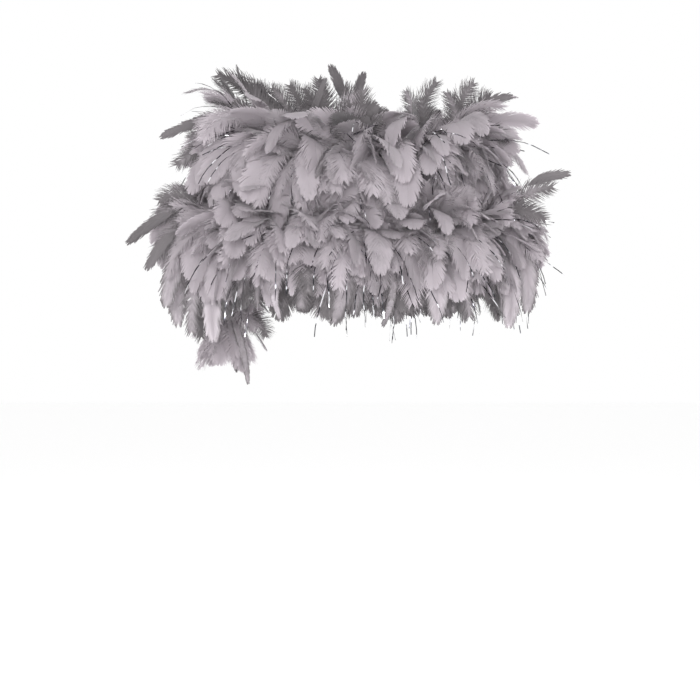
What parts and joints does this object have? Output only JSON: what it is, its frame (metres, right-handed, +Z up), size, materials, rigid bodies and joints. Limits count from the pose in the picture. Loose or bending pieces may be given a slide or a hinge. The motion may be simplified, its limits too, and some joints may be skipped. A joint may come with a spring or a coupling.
{
  "type": "feather boa",
  "caption": "Chandelle feather boa wound twice round the shoulders, with a core cord, tufts of feathers, silver tinsel, whipped and knotted ends and a free hanging tail.",
  "frame": {"origin": "middle of the neck turn, at the height of the shoulders that the boa rests on", "axes": "+Z up, -Y the front, +X to the right of someone who faces the wearer"},
  "size_m": [0.4746, 0.375, 0.3557],
  "materials": {
    "feathers": "matt dyed feather, lavender grey, soft down at the quill",
    "core_cord": "matt twisted cotton, dyed to match",
    "thread": "matt polyester thread",
    "tinsel": "mirror-bright silver lurex film"
  },
  "bodies": {
    "wrap": {"arm_tuft_20": "feathers", "arm_tuft_21": "feathers", "arm_tuft_22": "feathers", "arm_tuft_23": "feathers", "arm_tuft_24": "feathers", "arm_tuft_25": "feathers", "arm_tuft_26": "feathers", "arm_tuft_27": "feathers", "arm_tuft_28": "feathers", "arm_tuft_29": "feathers", "arm_tuft_30": "feathers", "arm_tuft_31": "feathers", "core_cord": "core_cord", "cross_tuft_12": "feathers", "cross_tuft_13": "feathers", "cross_tuft_14": "feathers", "cross_tuft_15": "feathers", "cross_tuft_16": "feathers", "end_knot_a": "core_cord", "end_tuft_01": "feathers", "end_tuft_02": "feathers", "end_tuft_03": "feathers", "end_whipping_a": "thread", "last_tuft_32": "feathers", "neck_tuft_04": "feathers", "neck_tuft_05": "feathers", "neck_tuft_06": "feathers", "neck_tuft_07": "feathers", "neck_tuft_08": "feathers", "neck_tuft_09": "feathers", "neck_tuft_10": "feathers", "neck_tuft_11": "feathers", "side_tuft_17": "feathers", "side_tuft_18": "feathers", "side_tuft_19": "feathers", "tinsel_01": "tinsel", "tinsel_02": "tinsel", "tinsel_03": "tinsel", "tinsel_04": "tinsel", "tinsel_05": "tinsel", "tinsel_06": "tinsel"},
    "tail_upper": {"tail_cord_upper": "core_cord", "tail_tuft_upper": "feathers"},
    "tail_lower": {"tail_cord_lower": "core_cord", "tail_tuft_lower": "feathers", "end_whipping_b": "thread", "end_knot_b": "core_cord"}
  },
  "joints": [
    {"name": "tail_sway", "type": "hinge", "parent": "wrap", "child": "tail_upper", "pos_m": [-0.157, 0.035, -0.146], "axis": [0, 1, 0], "range_deg": [-30, 30]},
    {"name": "tail_tip_swing", "type": "hinge", "parent": "tail_upper", "child": "tail_lower", "pos_m": [-0.157, 0.035, -0.174], "axis": [1, 0, 0], "range_deg": [-30, 30]}
  ]
}
